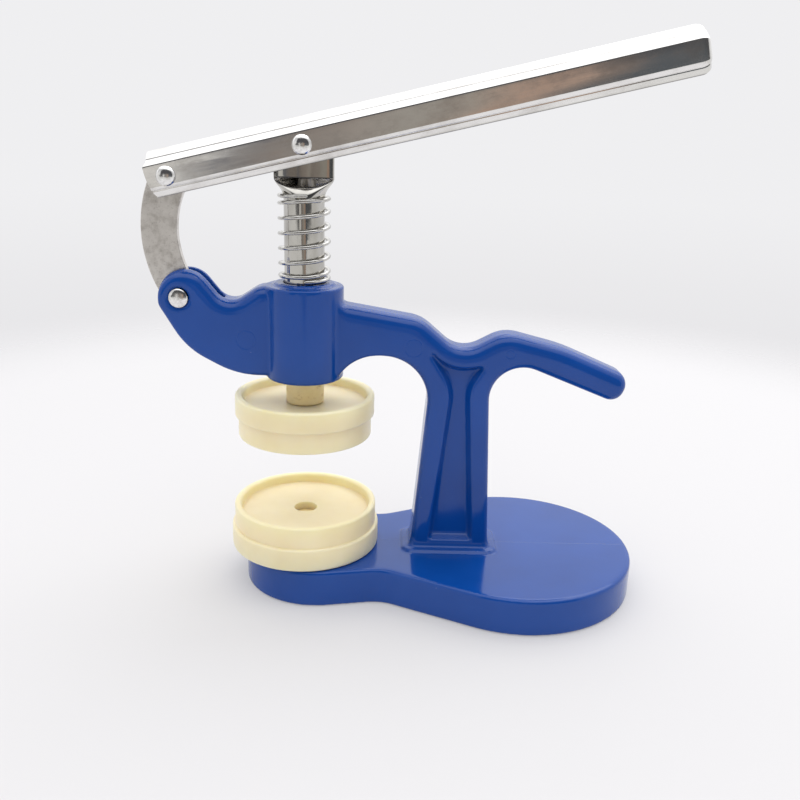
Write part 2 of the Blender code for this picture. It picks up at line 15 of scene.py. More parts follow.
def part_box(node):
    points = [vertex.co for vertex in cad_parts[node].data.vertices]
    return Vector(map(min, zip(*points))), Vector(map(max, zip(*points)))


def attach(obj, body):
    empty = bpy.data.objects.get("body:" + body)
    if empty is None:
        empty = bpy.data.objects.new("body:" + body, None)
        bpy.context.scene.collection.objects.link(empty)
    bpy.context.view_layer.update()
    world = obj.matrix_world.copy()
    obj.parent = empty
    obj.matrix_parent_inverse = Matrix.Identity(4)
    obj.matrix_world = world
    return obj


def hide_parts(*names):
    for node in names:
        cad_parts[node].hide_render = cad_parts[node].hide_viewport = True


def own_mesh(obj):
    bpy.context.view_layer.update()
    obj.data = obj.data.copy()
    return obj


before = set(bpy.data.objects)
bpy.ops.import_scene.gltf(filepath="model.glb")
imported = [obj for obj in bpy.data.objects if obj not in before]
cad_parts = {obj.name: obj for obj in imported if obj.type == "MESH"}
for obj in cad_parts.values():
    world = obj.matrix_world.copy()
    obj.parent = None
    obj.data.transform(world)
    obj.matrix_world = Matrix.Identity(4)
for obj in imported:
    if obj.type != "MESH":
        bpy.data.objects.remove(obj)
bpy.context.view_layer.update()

MM = 0.001

# Casting: base plate.
BASE_THICKNESS = 13.4
BASE_TOP_ROUND = 1.3
BASE_FOOT_ROUND = 0.6
NOSE_LEFT = -21.9
NOSE_SIDE = 32.3
NOSE_RADIUS = 26.8
WAIST_X = 28.8
WAIST_HALF = 23.1
WAIST_RADIUS = 14.0
DISC_LEFT = 70.1
DISC_CENTRE_X = 79.9
DISC_RADIUS = 43.2

# Casting: web, boss and column.
WEB_HALF_WIDTH = 7.25
TOP_ROUND = 4.5
SIDE_ROUND = 1.5
COLUMN_ROUND = 2.5
GRIP_ROUND = 3.2
ROUND_LAYERS = 9
COLUMN_LEFT = 39.6
COLUMN_RIGHT = 68.9
POCKET_DEPTH = 3.3
POCKET_DRAFT = 1.7
BOSS_RADIUS = 13.7
BOSS_BOTTOM = 77.95
BOSS_TOP = 111.0
SEAT_RADIUS = 10.8
SEAT_TOP = 112.0
BORE_RADIUS = 7.25
SLOT_WIDTH = 3.8
SLOT_END_X = -28.0
PIN_HOLE_RADIUS = 3.2
RECESS_RADIUS = 3.95
RECESS_DEPTH = 0.6
STUD_HOLE_RADIUS = 4.2
STUD_HOLE_FLOOR = 5.0

# Foot of the column, as spread past it and height over the base: a bead of paint, then a fillet.
FOOT_PROFILE = (
    (3.4, -2.0),
    (3.4, 0.2),
    (3.2, 0.75),
    (2.7, 1.1),
    (2.1, 1.15),
    (1.5, 1.1),
    (0.9, 1.4),
    (0.45, 2.2),
    (0.15, 3.2),
    (0.0, 4.2),
)
FOOT_SUNK = 0.2
FOOT_CORNER = 2.0
FOOT_CORNER_GROWTH = 0.7

# Ejector marks on the casting's sides, as X, Z, radius and line width.
EJECTOR_MARKS = (
    (-19.6, 92.5, 3.3, 0.35),
    (38.6, 91.0, 3.1, 0.3),
    (72.4, 89.6, 1.5, 0.35),
)

# Where the cutters end, clear of what they cut.
BELOW_BOSS = 70.0
ABOVE_BOSS = 120.0
BEHIND_FORK = -60.0
ABOVE_FORK = 125.0
PAST_SIDES = 12.0
PAST_PLATE = 5.0

# Skin over the joined casting.
SKIN_VOXEL = 0.5
SKIN_SMOOTHING = 5
SKIN_SHARE = 0.36

# Lever section as across and up, with a corner radius each: the lip, then the side and the top.
LEVER_LIP = (
    (5.75, -6.2, 0.2),
    (5.85, -5.55, 0.3),
    (6.25, -4.25, 0.15),
    (6.22, -3.85, 0.12),
    (6.7, -3.65, 0.15),
)
LEVER_SECTION = (
    (7.3, -2.9, 0.5),
    (7.3, 4.2, 0.9),
    (5.5, 6.1, 0.12),
    (5.34, 6.5, 0.12),
    (2.6, 8.85, 1.6),
)

# Lever: the lips drop slowly towards the nose, and the nose draws in by shares of the section.
LIP_DROP = 0.6
LEVER_REAR = 5.3
LEVER_LENGTH = 184.5
LEVER_OVERHANG = 1.4
LEVER_NOSE = 3.8
NOSE_ACROSS = 0.5
NOSE_UP = 0.45
LEVER_WALL = 1.2
LEVER_CENTRE = 1.2
LEVER_EDGE = 0.16

# Link plate.
LINK_HALF_THICKNESS = 1.5
LINK_WIDTH = 12.4
LINK_BOW_RADIUS = 38.3
LINK_EYE_RADIUS = 3.0
LINK_EDGE = 0.3
LINK_TRIM = 0.03

# Plunger: a round tube whose head is crimped flat.
TUBE_RADIUS = 6.95
TUBE_END_SHARE = 0.965
TUBE_BORE = 5.0
TUBE_BORE_TOP = 132.0
HEAD_HALF_WIDTH = 10.15
HEAD_HALF_DEPTH = 1.6
CRIMP_LOW = 140.2
CRIMP_HIGH = 147.0
CRIMP_SMILE = 5.0
FLARE_START = 138.0
FLARE_END = 146.8
FLARE_POWER = 2.6
HEAD_SHOULDER = 6.0
HEAD_RIDGE = 0.14
HEAD_RIDGE_WIDTH = 0.55
HEAD_SQUARE_ENDS = 0.45
HEAD_FLAT_SIDES = 0.4

# Spring: each wire tip is closed by rings that shrink by these shares, a small angle apart.
SPRING_TURNS = 7.0
WIRE_RADIUS = 0.7
CLOSED_PITCH = 1.65
SPRING_START = 0.15 - math.pi / 2
TIP_SHARES = (1.0, 0.9, 0.55)
TIP_STEP = 0.035

# Dies: upper and lower radius, the step's share of the height, and the upper and lower cup's radius.
LOWER_DIE = ((26.2, 27.3), 8.3 / 16.2, (23.8, 24.6))
UPPER_DIE = ((25.1, 24.0), 7.6 / 15.3, (22.4, 21.0))
CUP_DEPTH = 3.4
CUP_DRAFT = 0.3
DIE_BORE = 4.2

# Rivets, and the room in the holes that they pass through.
RIVET_SHANK = 2.0
RIVET_HEAD = 3.25
RIVET_DOME = 1.5
FORK_PIN_SHANK = 2.9
FORK_PIN_DOME = 0.8
HOLE_ROOM = 0.3

# Rivet domes: their sweep, and how far out and down they reach before the rolled rim.
DOME_SWEEP = math.radians(80)
DOME_REACH = 0.97
DOME_DROP = 0.86
RIM_RISE = 0.07


def centre_of(node):
    """Middle of a CAD node's box."""
    low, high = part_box(node)
    return (Vector(low) + Vector(high)) / 2


PLUNGER_PIN = centre_of("plunger_rivet")
REAR_PIN = centre_of("rear_rivet")
FORK_PIN = centre_of("fork_pin")
LEVER_TILT = math.atan2(PLUNGER_PIN.z - REAR_PIN.z, PLUNGER_PIN.x - REAR_PIN.x)
LEVER_PLACE = Matrix.Translation(PLUNGER_PIN) @ Matrix.Rotation(-LEVER_TILT, 4, "Y")
PIN_SPACING = (PLUNGER_PIN - REAR_PIN).length / MM
LIP_EDGE = LEVER_LIP[0][1] - LIP_DROP * (PIN_SPACING + LEVER_REAR) / LEVER_LENGTH


# -------- outlines and meshes

def turn_at(before, corner, after):
    """Signed turn of a path at a corner, positive to the left."""
    a = corner - before
    b = after - corner
    return math.atan2(a.x * b.y - a.y * b.x, a.dot(b))


def shifted_corner(before, corner, after, inset_in, inset_out):
    """Where a corner moves when its two sides move inwards by their own insets."""
    a = (corner - before).normalized()
    b = (after - corner).normalized()
    left_a = Vector((-a.y, a.x))
    left_b = Vector((-b.y, b.x))
    cross = a.x * b.y - a.y * b.x
    gap = left_b * inset_out - left_a * inset_in
    along = (gap.x * b.y - gap.y * b.x) / cross
    return corner + left_a * inset_in + a * along


def outline(corners, insets=None, step=math.radians(4)):
    """Points of an anticlockwise polygon whose corners (u, v, radius) are arcs."""
    count = len(corners)
    insets = insets or [0.0] * count
    sharp = [Vector(corner[:2]) for corner in corners]
    points = []
    for i, corner in enumerate(corners):
        before = sharp[i - 1]
        after = sharp[(i + 1) % count]
        turn = turn_at(before, sharp[i], after)
        tip = shifted_corner(before, sharp[i], after, insets[i - 1], insets[i])
        mean = 0.5 * (insets[i - 1] + insets[i])
        radius = corner[2] - math.copysign(mean, turn)
        if corner[2] <= 0.0:
            points.append(tip)
            continue
        back = (before - sharp[i]).normalized()
        ahead = (after - sharp[i]).normalized()
        reach = radius * math.tan(abs(turn) / 2)
        centre = tip + (back + ahead).normalized() * (radius / math.cos(turn / 2))
        start = tip + back * reach - centre
        steps = max(2, math.ceil(abs(turn) / step))
        for k in range(steps + 1):
            angle = turn * k / steps
            cosine = math.cos(angle)
            sine = math.sin(angle)
            across = start.x * cosine - start.y * sine
            up = start.x * sine + start.y * cosine
            points.append(centre + Vector((across, up)))
    return points


def circle(radius, steps, centre=(0.0, 0.0)):
    """Points of an anticlockwise circle."""
    angles = [2 * math.pi * k / steps for k in range(steps)]
    return [Vector((centre[0] + radius * math.cos(a), centre[1] + radius * math.sin(a))) for a in angles]


def arc(centre, radius, start, sweep, steps):
    """Points along an arc, from a start angle through a sweep."""
    angles = [start + sweep * k / steps for k in range(steps + 1)]
    return [centre + radius * Vector((math.cos(a), math.sin(a))) for a in angles]


def mesh_object(name, builder, sharp=math.radians(30)):
    """A new object from a mesh in millimetres, whose faces all point outwards."""
    builder.normal_update()
    bmesh.ops.recalc_face_normals(builder, faces=builder.faces)
    bmesh.ops.scale(builder, vec=(MM, MM, MM), verts=builder.verts)
    mesh = bpy.data.meshes.new(name)
    builder.to_mesh(mesh)
    builder.free()
    mesh.shade_smooth()
    mesh.set_sharp_from_angle(angle=sharp)
    item = bpy.data.objects.new(name, mesh)
    bpy.context.scene.collection.objects.link(item)
    return item


def loft(name, rings):
    """A closed solid through rings of equally many points, capped at both ends."""
    builder = bmesh.new()
    loops = [[builder.verts.new(point) for point in ring] for ring in rings]
    for low, high in zip(loops, loops[1:]):
        for k in range(len(low)):
            after = (k + 1) % len(low)
            builder.faces.new((low[k], low[after], high[after], high[k]))
    builder.faces.new(reversed(loops[0]))
    builder.faces.new(loops[-1])
    return mesh_object(name, builder)


def turned(name, profile, steps=96):
    """A solid of revolution about Z from (radius, z) points that start and end on the axis."""
    builder = bmesh.new()
    loops = []
    for radius, z in profile:
        if radius <= 0.0:
            loops.append([builder.verts.new((0.0, 0.0, z))])
        else:
            loops.append([builder.verts.new((p.x, p.y, z)) for p in circle(radius, steps)])
    for low, high in zip(loops, loops[1:]):
        for k in range(steps):
            after = (k + 1) % steps
            if len(low) == 1:
                builder.faces.new((low[0], high[k], high[after]))
            elif len(high) == 1:
                builder.faces.new((low[k], low[after], high[0]))
            else:
                builder.faces.new((low[k], low[after], high[after], high[k]))
    return mesh_object(name, builder)


def turned_ring(name, profile, steps=144):
    """A solid of revolution about Z from a closed (radius, z) profile that stays off the axis."""
    builder = bmesh.new()
    loops = [[builder.verts.new((p.x, p.y, z)) for p in circle(radius, steps)] for radius, z in profile]
    for i, low in enumerate(loops):
        high = loops[(i + 1) % len(loops)]
        for k in range(steps):
            after = (k + 1) % steps
            builder.faces.new((low[k], low[after], high[after], high[k]))
    return mesh_object(name, builder)


def prism(name, points, half_width):
    """A solid with a side view in X and Z, across the plane Y = 0."""
    return loft(name, [[(u, y, v) for u, v in points] for y in (-half_width, half_width)])


def boolean(target, tool, operation="DIFFERENCE"):
    """Cut a tool from a target, or join it to the target."""
    modifier = target.modifiers.new(tool.name, "BOOLEAN")
    modifier.operation = operation
    modifier.solver = "EXACT"
    modifier.object = tool


def freeze(item):
    """Apply an object's modifiers and remove the tools that they used."""
    tools = [modifier.object for modifier in item.modifiers if modifier.type == "BOOLEAN"]
    bpy.context.view_layer.update()
    evaluated = item.evaluated_get(bpy.context.evaluated_depsgraph_get())
    mesh = bpy.data.meshes.new_from_object(evaluated)
    item.modifiers.clear()
    item.data = mesh
    for tool in tools:
        bpy.data.objects.remove(tool, do_unlink=True)


def soften_edges(item, width, segments=2, reach=math.inf):
    """Round the sharp edges by a small bevel, as far along the object's X as the reach."""
    builder = bmesh.new()
    builder.from_mesh(item.data)
    weight = builder.edges.layers.float.new("bevel_weight_edge")
    for edge in builder.edges:
        near = all(vert.co.x < reach * MM for vert in edge.verts)
        if near and edge.calc_face_angle(0.0) > math.radians(30):
            edge[weight] = 1.0
    builder.to_mesh(item.data)
    builder.free()
    bevel = item.modifiers.new("soft_edges", "BEVEL")
    bevel.width = width * MM
    bevel.segments = segments
    bevel.limit_method = "WEIGHT"
    bevel.harden_normals = True
    freeze(item)


# -------- materials

class Nodes:
    """A node tree with its coordinates, and short calls for the nodes that it needs."""

    def __init__(self, tree, coordinates):
        self.tree = tree
        self.place = tree.nodes.new("ShaderNodeTexCoord").outputs[coordinates]

    def feed(self, socket, value):
        """Link an output to a socket, or set the socket's own value."""
        if isinstance(value, bpy.types.NodeSocket):
            self.tree.links.new(value, socket)
        else:
            socket.default_value = value

    def settle(self, placement):
        """Count the coordinates from a placed frame instead of from the object's own."""
        node = self.tree.nodes.new("ShaderNodeMapping")
        node.vector_type = "TEXTURE"
        node.inputs["Location"].default_value = placement.to_translation()
        node.inputs["Rotation"].default_value = placement.to_euler()
        self.feed(node.inputs["Vector"], self.place)
        self.place = node.outputs["Vector"]

    def math(self, operation, a, b=0.0, clamp=False):
        """The result of a sum or comparison of one or two values."""
        node = self.tree.nodes.new("ShaderNodeMath")
        node.operation = operation
        node.use_clamp = clamp
        self.feed(node.inputs[0], a)
        self.feed(node.inputs[1], b)
        return node.outputs[0]

    def stretched(self, factors):
        """The coordinates, multiplied by a factor along each axis."""
        node = self.tree.nodes.new("ShaderNodeVectorMath")
        node.operation = "MULTIPLY"
        self.feed(node.inputs[0], self.place)
        node.inputs[1].default_value = factors
        return node.outputs[0]

    def around_axis(self):
        """The distance from the Z axis and the height, as coordinates for turned marks."""
        x, y, z = self.axes()
        squares = self.math("ADD", self.math("MULTIPLY", x, x), self.math("MULTIPLY", y, y))
        node = self.tree.nodes.new("ShaderNodeCombineXYZ")
        self.feed(node.inputs[0], self.math("SQRT", squares))
        self.feed(node.inputs[2], z)
        return node.outputs[0]

    def noise(self, size, detail=2.0, stretch=(1.0, 1.0, 1.0), roughness=0.5, place=None):
        """Noise whose blobs are about size millimetres across."""
        node = self.tree.nodes.new("ShaderNodeTexNoise")
        node.inputs["Scale"].default_value = 1 / (size * MM)
        node.inputs["Detail"].default_value = detail
        node.inputs["Roughness"].default_value = roughness
        self.feed(node.inputs["Vector"], self.stretched(stretch) if place is None else place)
        return node.outputs["Fac"]

    def specks(self, spacing, size):
        """Scattered dots: 1 inside a dot and 0 outside."""
        node = self.tree.nodes.new("ShaderNodeTexVoronoi")
        node.inputs["Scale"].default_value = 1 / (spacing * MM)
        self.feed(node.inputs["Vector"], self.place)
        return self.between(node.outputs["Distance"], size / spacing, size / spacing * 0.6)

    def between(self, value, low, high, to_low=0.0, to_high=1.0):
        """Map a value's range onto another range, smoothly."""
        node = self.tree.nodes.new("ShaderNodeMapRange")
        node.interpolation_type = "SMOOTHSTEP"
        self.feed(node.inputs["Value"], value)
        node.inputs["From Min"].default_value = low
        node.inputs["From Max"].default_value = high
        node.inputs["To Min"].default_value = to_low
        node.inputs["To Max"].default_value = to_high
        return node.outputs["Result"]

    def ramp(self, value, stops):
        """Colours along a value, from (position, colour) pairs."""
        node = self.tree.nodes.new("ShaderNodeValToRGB")
        while len(node.color_ramp.elements) < len(stops):
            node.color_ramp.elements.new(0.5)
        for element, (position, colour) in zip(node.color_ramp.elements, stops):
            element.position = position
            element.color = (*colour, 1.0)
        self.feed(node.inputs["Fac"], value)
        return node.outputs["Color"]

    def mix(self, share, a, b):
        """A mix of two colours."""
        node = self.tree.nodes.new("ShaderNodeMix")
        node.data_type = "RGBA"
        self.feed(node.inputs["Factor"], share)
        for socket, value in ((node.inputs["A"], a), (node.inputs["B"], b)):
            self.feed(socket, value if isinstance(value, bpy.types.NodeSocket) else (*value, 1.0))
        return node.outputs["Result"]

    def axes(self):
        """The coordinates as three numbers."""
        node = self.tree.nodes.new("ShaderNodeSeparateXYZ")
        self.feed(node.inputs[0], self.place)
        return node.outputs

    def bump(self, height, depth, under=None):
        """Raise the surface by a height from 0 to 1 times a depth in millimetres."""
        node = self.tree.nodes.new("ShaderNodeBump")
        node.inputs["Distance"].default_value = depth * MM
        self.feed(node.inputs["Height"], height)
        if under is not None:
            self.feed(node.inputs["Normal"], under)
        return node.outputs["Normal"]

    def ring(self, x, z, across, up, radius, width):
        """1 on a circle about (across, up) in the X Z plane and 0 away from it."""
        dx = self.math("SUBTRACT", x, across * MM)
        dz = self.math("SUBTRACT", z, up * MM)
        squares = self.math("ADD", self.math("MULTIPLY", dx, dx), self.math("MULTIPLY", dz, dz))
        away = self.math("ABSOLUTE", self.math("SUBTRACT", self.math("SQRT", squares), radius * MM))
        return self.between(away, width * MM, 0.0)


class Look(Nodes):
    """A new material on the object's own coordinates, in metres."""

    def __init__(self, name):
        self.material = bpy.data.materials.new(name)
        self.material.use_nodes = True
        super().__init__(self.material.node_tree, "Object")
        self.shader = self.tree.nodes["Principled BSDF"]

    def set(self, **values):
        """Set or link the shader's sockets by name, with _ for a space."""
        for name, value in values.items():
            self.feed(self.shader.inputs[name.replace("_", " ")], value)


def blue_enamel():
    """Glossy thick enamel over a die casting, with its parting line and ejector marks."""
    look = Look("blue_enamel")
    x, y, z = look.axes()
    tint = look.noise(26.0, 3.0)
    colour = look.ramp(tint, [(0.3, (0.0024, 0.050, 0.268)), (0.7, (0.0038, 0.060, 0.312))])
    colour = look.mix(look.math("MULTIPLY", look.specks(11.0, 0.16), 0.5), colour, (0.25, 0.32, 0.5))
    rough = look.between(look.noise(9.0, 4.0), 0.25, 0.75, 0.09, 0.17)
    peel = look.bump(look.noise(1.9, 2.0), 0.006)
    flow = look.bump(look.noise(9.0, 1.0), 0.03, peel)
    seam = look.between(look.math("ABSOLUTE", y), 0.32 * MM, 0.0)
    surface = look.bump(seam, 0.05, flow)
    colour = look.mix(look.math("MULTIPLY", seam, 0.10), colour, (0.12, 0.22, 0.5))
    marks = 0.0
    for across, up, radius, width in EJECTOR_MARKS:
        marks = look.math("MAXIMUM", marks, look.ring(x, z, across, up, radius, width))
    on_side = look.math("GREATER_THAN", look.math("ABSOLUTE", y), (WEB_HALF_WIDTH - 0.25) * MM)
    surface = look.bump(look.math("MULTIPLY", marks, on_side), -0.035, surface)
    look.set(Base_Color=colour, Roughness=rough, Normal=surface, IOR=1.46)
    return look.material


def plated_sheet():
    """Bright nickel on drawn sheet, with faint stains, slow waves and painted shade along the lips'
    lower edge.
    """
    look = Look("plated_sheet")
    look.settle(LEVER_PLACE)
    lines = look.noise(0.28, 3.0, (0.02, 1.0, 1.0))
    grain = look.noise(0.45, 2.0)
    stain = look.noise(7.5, 5.0, (0.55, 1.0, 1.0), 0.62)
    stops = [(0.3, (0.60, 0.58, 0.56)), (0.52, (0.78, 0.77, 0.755)), (0.8, (0.86, 0.85, 0.84))]
    colour = look.ramp(stain, stops)
    x, _, z = look.axes()
    rise = look.math("ADD", z, look.math("MULTIPLY", x, LIP_DROP / LEVER_LENGTH))
    # Painted shade: a dark band along the lips' lower edge, standing in for the dark casting that the
    # lips reflect there.
    lip_painted_shade = look.between(rise, (LIP_EDGE + 0.45) * MM, (LIP_EDGE + 0.1) * MM)
    colour = look.mix(look.math("MULTIPLY", lip_painted_shade, 0.8), colour, (0.20, 0.19, 0.19))
    streak = look.between(lines, 0.3, 0.7, 0.0, 0.05)
    rough = look.math("ADD", look.between(stain, 0.3, 0.7, 0.16, 0.06), streak)
    waves = look.bump(look.noise(22.0, 2.0, (0.6, 1.0, 1.0)), 0.05)
    drawn = look.bump(lines, 0.0016, waves)
    look.set(Base_Color=colour, Roughness=rough, Metallic=1.0, Normal=look.bump(grain, 0.0016, drawn))
    return look.material


def satin_plate():
    """Blanked steel plate with a tumbled, slightly stained surface."""
    look = Look("satin_plate")
    grain = look.noise(0.55, 3.0)
    stain = look.noise(4.2, 6.0, roughness=0.65)
    stops = [(0.26, (0.47, 0.44, 0.40)), (0.5, (0.70, 0.67, 0.635)), (0.75, (0.79, 0.765, 0.73))]
    cloud = look.ramp(stain, stops)
    colour = look.mix(look.between(grain, 0.42, 0.30, 0.0, 0.30), cloud, (0.27, 0.25, 0.225))
    rough = look.between(stain, 0.25, 0.75, 0.46, 0.33)
    surface = look.bump(look.noise(0.32, 2.0), 0.004, look.bump(stain, 0.012))
    look.set(Base_Color=colour, Roughness=rough, Metallic=1.0, Normal=surface)
    return look.material


def polished_tube():
    """Polished steel tube with light handling marks."""
    look = Look("polished_tube")
    stain = look.noise(5.0, 4.0, (1.0, 1.0, 0.4))
    scratch = look.noise(0.22, 2.0, (1.0, 1.0, 0.03))
    colour = look.ramp(stain, [(0.3, (0.42, 0.405, 0.375)), (0.6, (0.56, 0.545, 0.515))])
    scuffed = look.between(scratch, 0.5, 0.75, 0.0, 0.07)
    rough = look.math("ADD", look.between(stain, 0.3, 0.7, 0.10, 0.05), scuffed)
    surface = look.bump(look.noise(3.5, 2.0), 0.012, look.bump(scratch, 0.0012))
    look.set(Base_Color=colour, Roughness=rough, Metallic=1.0, Normal=surface)
    return look.material


def spring_wire():
    """Plated spring wire with its drawing lines."""
    look = Look("spring_wire")
    stain = look.noise(2.4, 3.0)
    colour = look.ramp(stain, [(0.3, (0.44, 0.43, 0.41)), (0.65, (0.62, 0.61, 0.585))])
    rough = look.between(stain, 0.3, 0.7, 0.22, 0.10)
    surface = look.bump(look.noise(0.16, 2.0, (1.0, 1.0, 3.0)), 0.0025)
    look.set(Base_Color=colour, Roughness=rough, Metallic=1.0, Normal=surface)
    return look.material


def rivet_steel():
    """Bright rivet with the marks of its upsetting tool."""
    look = Look("rivet_steel")
    stain = look.noise(1.3, 4.0)
    colour = look.ramp(stain, [(0.3, (0.62, 0.61, 0.60)), (0.65, (0.87, 0.865, 0.86))])
    rough = look.between(stain, 0.3, 0.7, 0.20, 0.09)
    surface = look.bump(look.noise(0.5, 3.0), 0.008, look.bump(stain, 0.03))
    look.set(Base_Color=colour, Roughness=rough, Metallic=1.0, Normal=surface)
    return look.material


def turned_brass():
    """Turned brass with its tool marks round it and a thin tarnish."""
    look = Look("turned_brass")
    rings = look.noise(0.22, 2.0, (0.02, 0.02, 1.0))
    stain = look.noise(3.4, 5.0, (1.0, 1.0, 1.4), 0.62)
    stops = [(0.26, (0.62, 0.49, 0.27)), (0.42, (0.86, 0.75, 0.50)), (0.78, (0.93, 0.83, 0.59))]
    colour = look.ramp(stain, stops)
    grooved = look.between(rings, 0.3, 0.7, 0.0, 0.06)
    rough = look.math("ADD", look.between(stain, 0.3, 0.7, 0.46, 0.36), grooved)
    surface = look.bump(rings, 0.010, look.bump(look.noise(0.4, 3.0), 0.004))
    look.set(Base_Color=colour, Roughness=rough, Metallic=0.85, Normal=surface)
    return look.material


def cream_nylon():
    """Turned cream nylon: slightly translucent, with soft tool rings."""
    look = Look("cream_nylon")
    rings = look.noise(0.45, place=look.around_axis())
    tint = look.noise(17.0, 3.0)
    colour = look.ramp(tint, [(0.3, (0.83, 0.72, 0.455)), (0.7, (0.885, 0.795, 0.55))])
    rough = look.between(rings, 0.25, 0.75, 0.30, 0.44)
    surface = look.bump(rings, 0.012, look.bump(look.noise(1.1, 3.0), 0.004))
    look.set(Base_Color=colour, Roughness=rough, Normal=surface, IOR=1.53)
    look.set(Subsurface_Weight=0.7, Subsurface_Radius=(1.0, 0.92, 0.55), Subsurface_Scale=0.005)
    return look.material


# -------- the casting

def base_plate():
    """Flat base with a rounded top edge."""
    right = DISC_CENTRE_X + DISC_RADIUS
    half = [
        (NOSE_LEFT, -NOSE_SIDE, NOSE_RADIUS),
        (WAIST_X, -WAIST_HALF, WAIST_RADIUS),
        (DISC_LEFT, -DISC_RADIUS, DISC_RADIUS - 0.1),
        (right, -DISC_RADIUS, DISC_RADIUS - 0.1),
    ]
    corners = half + [(x, -y, radius) for x, y, radius in reversed(half)]
    levels = []
    for k in range(4):
        angle = math.pi / 2 * k / 3
        rise = BASE_FOOT_ROUND * (1 - math.cos(angle))
        levels.append((rise, BASE_FOOT_ROUND * (1 - math.sin(angle))))
    for k in range(7):
        angle = math.pi / 2 * k / 6
        rise = BASE_THICKNESS - BASE_TOP_ROUND * (1 - math.sin(angle))
        levels.append((rise, BASE_TOP_ROUND * (1 - math.cos(angle))))
    rings = []
    for z, inset in levels:
        points = outline(corners, [inset] * len(corners), math.radians(2.5))
        rings.append([(p.x, p.y, z) for p in points])
    return loft("painted_casting", rings)


def web_corners():
    """Side view of the upright web, anticlockwise: X, Z, corner radius, and that side's edge round."""
    return [
        (69.3, 4.0, 0.0, COLUMN_ROUND),
        (65.3, 89.8, 11.7, GRIP_ROUND),
        (112.15, 71.6, 4.8, GRIP_ROUND),
        (115.95, 81.4, 4.8, TOP_ROUND),
        (91.3, 91.7, 60.0, TOP_ROUND),
        (70.5, 96.8, 13.0, TOP_ROUND),
        (55.3, 88.55, 10.5, TOP_ROUND),
        (41.1, 100.6, 14.0, TOP_ROUND),
        (12.7, 105.2, 3.5, SIDE_ROUND),
        (11.4, 110.8, 0.0, TOP_ROUND),
        (-15.5, 110.8, 8.0, TOP_ROUND),
        (-26.4, 103.5, 6.4, TOP_ROUND),
        (-36.3, 115.8, 9.0, TOP_ROUND),
        (-49.8, 115.8, 9.0, SIDE_ROUND),
        (-49.8, 103.9, 4.0, SIDE_ROUND),
        (-40.7, 88.6, 26.0, SIDE_ROUND),
        (-23.3, 79.4, 30.0, SIDE_ROUND),
        (12.1, 79.3, 0.0, SIDE_ROUND),
        (18.3, 87.5, 16.5, SIDE_ROUND),
        (45.35, 87.5, 16.5, COLUMN_ROUND),
        (38.8, 4.0, 0.0, SIDE_ROUND),
    ]


def edge_inset(radius, depth):
    """How far a rounded edge of this radius has drawn in at a depth below the side face."""
    rise = radius - depth
    return radius - math.sqrt(radius * radius - rise * rise) if rise > 0 else 0.0


def upright_web():
    """Fork, arm, column and grip horn, with each edge rounded by its own radius."""
    corners = web_corners()
    rings = []
    for k in range(ROUND_LAYERS + 1):
        depth = TOP_ROUND * (1 - math.cos(math.pi / 2 * k / ROUND_LAYERS))
        insets = [edge_inset(corner[3], depth) for corner in corners]
        points = outline([corner[:3] for corner in corners], insets)
        rings.append([(p.x, -WEB_HALF_WIDTH + depth, p.y) for p in points])
    far_side = [[(x, -y, z) for x, y, z in ring] for ring in reversed(rings)]
    return loft("web_blank", rings + far_side)


def boss():
    """Round boss with a low raised seat for the return spring."""
    edge = 0.45
    profile = [
        (0.0, BOSS_BOTTOM),
        (BOSS_RADIUS - edge, BOSS_BOTTOM),
        (BOSS_RADIUS, BOSS_BOTTOM + edge),
        (BOSS_RADIUS, BOSS_TOP - edge),
        (BOSS_RADIUS - edge / 3, BOSS_TOP - edge / 3),
        (BOSS_RADIUS - edge, BOSS_TOP),
        (SEAT_RADIUS, BOSS_TOP),
        (SEAT_RADIUS - 0.4, SEAT_TOP),
        (0.0, SEAT_TOP),
    ]
    return turned("boss_blank", profile)


def column_foot():
    """Fillet where the column grows out of the base, with a low bead of paint at its edge."""
    rings = []
    for spread, rise in FOOT_PROFILE:
        left = COLUMN_LEFT + FOOT_SUNK - spread
        right = COLUMN_RIGHT - FOOT_SUNK + spread
        side = WEB_HALF_WIDTH - FOOT_SUNK + spread
        radius = FOOT_CORNER + FOOT_CORNER_GROWTH * spread
        near = [(left, -side, radius), (right, -side, radius)]
        far = [(right, side, radius), (left, side, radius)]
        points = outline(near + far, None, math.radians(10))
        rings.append([(p.x, p.y, BASE_THICKNESS + rise) for p in points])
    return loft("foot_blank", rings)


def pocket_tool(side):
    """Drafted cutter for the lightening pocket on one face of the column."""
    corners = [
        (46.0, 17.0, 1.2),
        (62.8, 17.0, 1.2),
        (59.1, 75.9, 12.0),
        (64.6, 85.2, 1.0),
        (51.5, 83.6, 14.0),
        (40.7, 94.2, 0.9),
        (51.9, 76.0, 16.0),
    ]
    stages = (
        (WEB_HALF_WIDTH + 2.0, -POCKET_DRAFT * 0.3),
        (WEB_HALF_WIDTH, 0.0),
        (WEB_HALF_WIDTH - POCKET_DEPTH, POCKET_DRAFT),
    )
    rings = []
    for y, inset in stages:
        points = outline(corners, [inset] * len(corners))
        rings.append([(p.x, side * y, p.y) for p in points])
    return loft("pocket_tool", rings)


